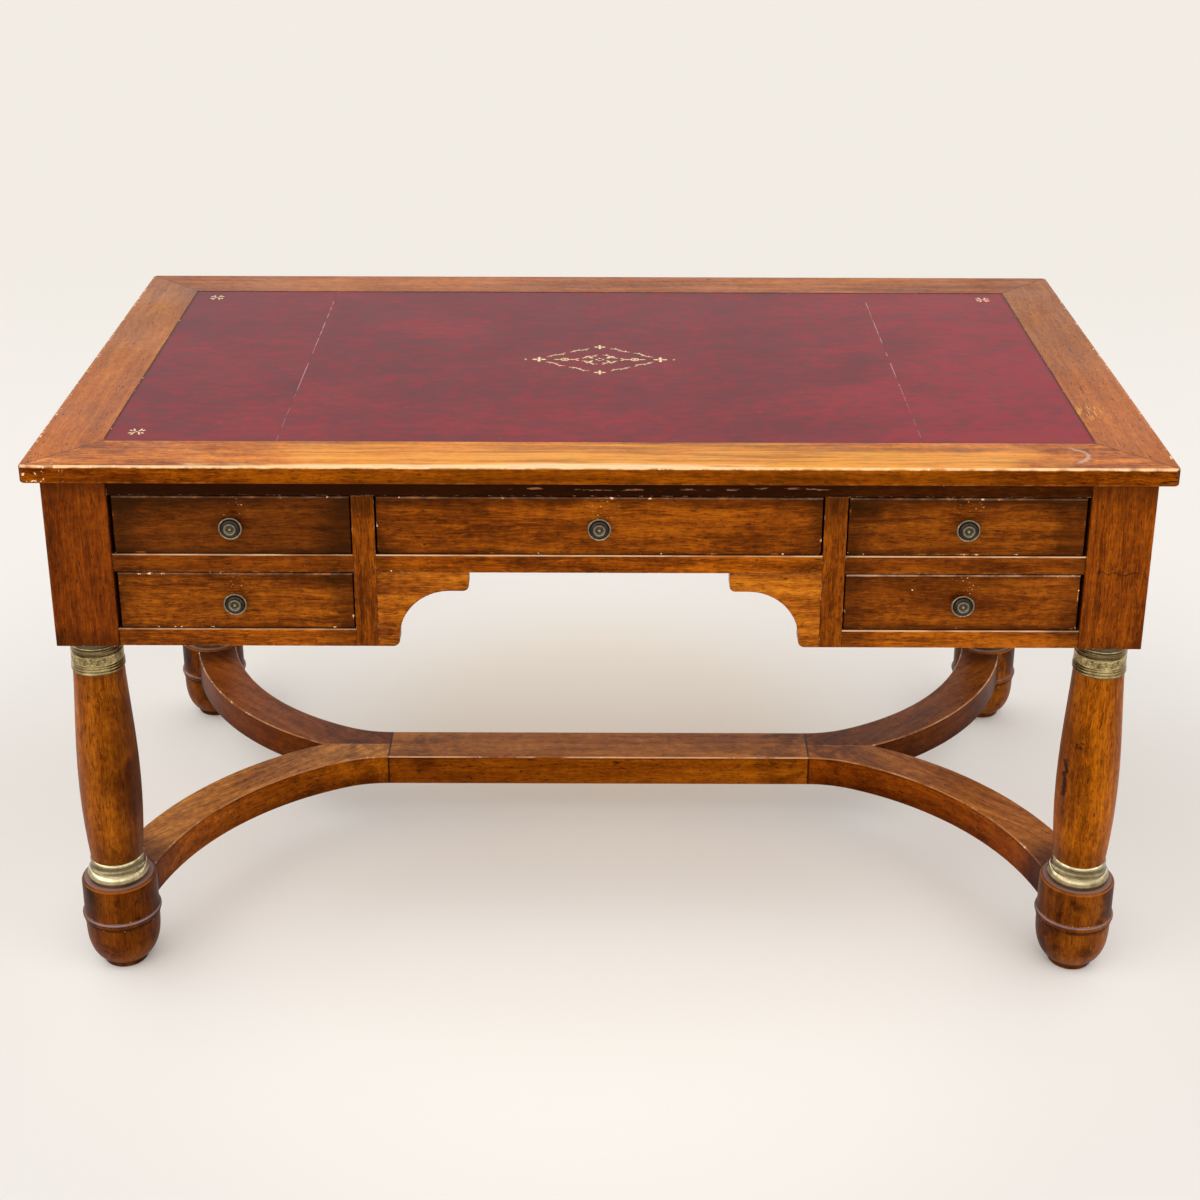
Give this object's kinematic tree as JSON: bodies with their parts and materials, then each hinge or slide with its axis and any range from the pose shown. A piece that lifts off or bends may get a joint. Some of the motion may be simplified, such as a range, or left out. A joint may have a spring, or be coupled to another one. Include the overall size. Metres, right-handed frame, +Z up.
{
  "type": "writing desk",
  "caption": "Leather-topped writing desk with drawers round an arched kneehole, on turned columns with brass collars and a curved stretcher.",
  "frame": {"origin": "on the floor, under the middle of the top", "axes": "+X along the desk to the sitter's right, +Y from the sitter to the back, +Z up"},
  "size_m": [1.5, 0.86, 0.79],
  "materials": {
    "top_wood": "worn waxed polish",
    "frame_wood": "aged waxed polish",
    "drawer_wood": "aged waxed polish",
    "stretcher_wood": "aged waxed polish",
    "box_wood": "bare planed wood",
    "inner_wood": "bare sawn wood",
    "leather": "polished hide with gilt tooling",
    "collar_brass": "aged, rubbed bright on the edges",
    "knob_brass": "dark patina, rubbed on the rim"
  },
  "bodies": {
    "root": {"back_apron": "frame_wood", "base_collars": "collar_brass", "bottom_rail_left": "frame_wood", "bottom_rail_right": "frame_wood", "bracket_left": "frame_wood", "bracket_right": "frame_wood", "centre_rail": "frame_wood", "column_back_left": "frame_wood", "column_back_right": "frame_wood", "column_front_left": "frame_wood", "column_front_right": "frame_wood", "divider_rail_left": "frame_wood", "divider_rail_right": "frame_wood", "drawer_kickers": "inner_wood", "drawer_runners": "inner_wood", "drawer_stops": "inner_wood", "foot_back_left": "frame_wood", "foot_back_right": "frame_wood", "foot_front_left": "frame_wood", "foot_front_right": "frame_wood", "front_top_rail": "frame_wood", "leather_centre": "leather", "leather_left": "leather", "leather_right": "leather", "partition_left": "inner_wood", "partition_right": "inner_wood", "post_back_left": "frame_wood", "post_back_right": "frame_wood", "post_front_left": "frame_wood", "post_front_right": "frame_wood", "side_apron_left": "frame_wood", "side_apron_right": "frame_wood", "stile_left": "frame_wood", "stile_right": "frame_wood", "stretcher_arm_back_left": "stretcher_wood", "stretcher_arm_back_right": "stretcher_wood", "stretcher_arm_front_left": "stretcher_wood", "stretcher_arm_front_right": "stretcher_wood", "stretcher_bar": "stretcher_wood", "top_collars": "collar_brass", "top_panel": "inner_wood", "top_rail_back": "top_wood", "top_rail_front": "top_wood", "top_rail_left": "top_wood", "top_rail_right": "top_wood"},
    "drawer_centre": {"drawer_front_centre": "drawer_wood", "drawer_box_centre": "box_wood", "knob_centre": "knob_brass"},
    "drawer_upper_left": {"drawer_front_upper_left": "drawer_wood", "drawer_box_upper_left": "box_wood", "knob_upper_left": "knob_brass"},
    "drawer_lower_left": {"drawer_front_lower_left": "drawer_wood", "drawer_box_lower_left": "box_wood", "knob_lower_left": "knob_brass"},
    "drawer_upper_right": {"drawer_front_upper_right": "drawer_wood", "drawer_box_upper_right": "box_wood", "knob_upper_right": "knob_brass"},
    "drawer_lower_right": {"drawer_front_lower_right": "drawer_wood", "drawer_box_lower_right": "box_wood", "knob_lower_right": "knob_brass"}
  },
  "joints": [
    {"name": "slide_centre", "type": "slide", "parent": "root", "child": "drawer_centre", "axis": [0, -1, 0], "range_m": [0, 0.4]},
    {"name": "slide_upper_left", "type": "slide", "parent": "root", "child": "drawer_upper_left", "axis": [0, -1, 0], "range_m": [0, 0.4]},
    {"name": "slide_lower_left", "type": "slide", "parent": "root", "child": "drawer_lower_left", "axis": [0, -1, 0], "range_m": [0, 0.4]},
    {"name": "slide_upper_right", "type": "slide", "parent": "root", "child": "drawer_upper_right", "axis": [0, -1, 0], "range_m": [0, 0.4]},
    {"name": "slide_lower_right", "type": "slide", "parent": "root", "child": "drawer_lower_right", "axis": [0, -1, 0], "range_m": [0, 0.4]}
  ]
}
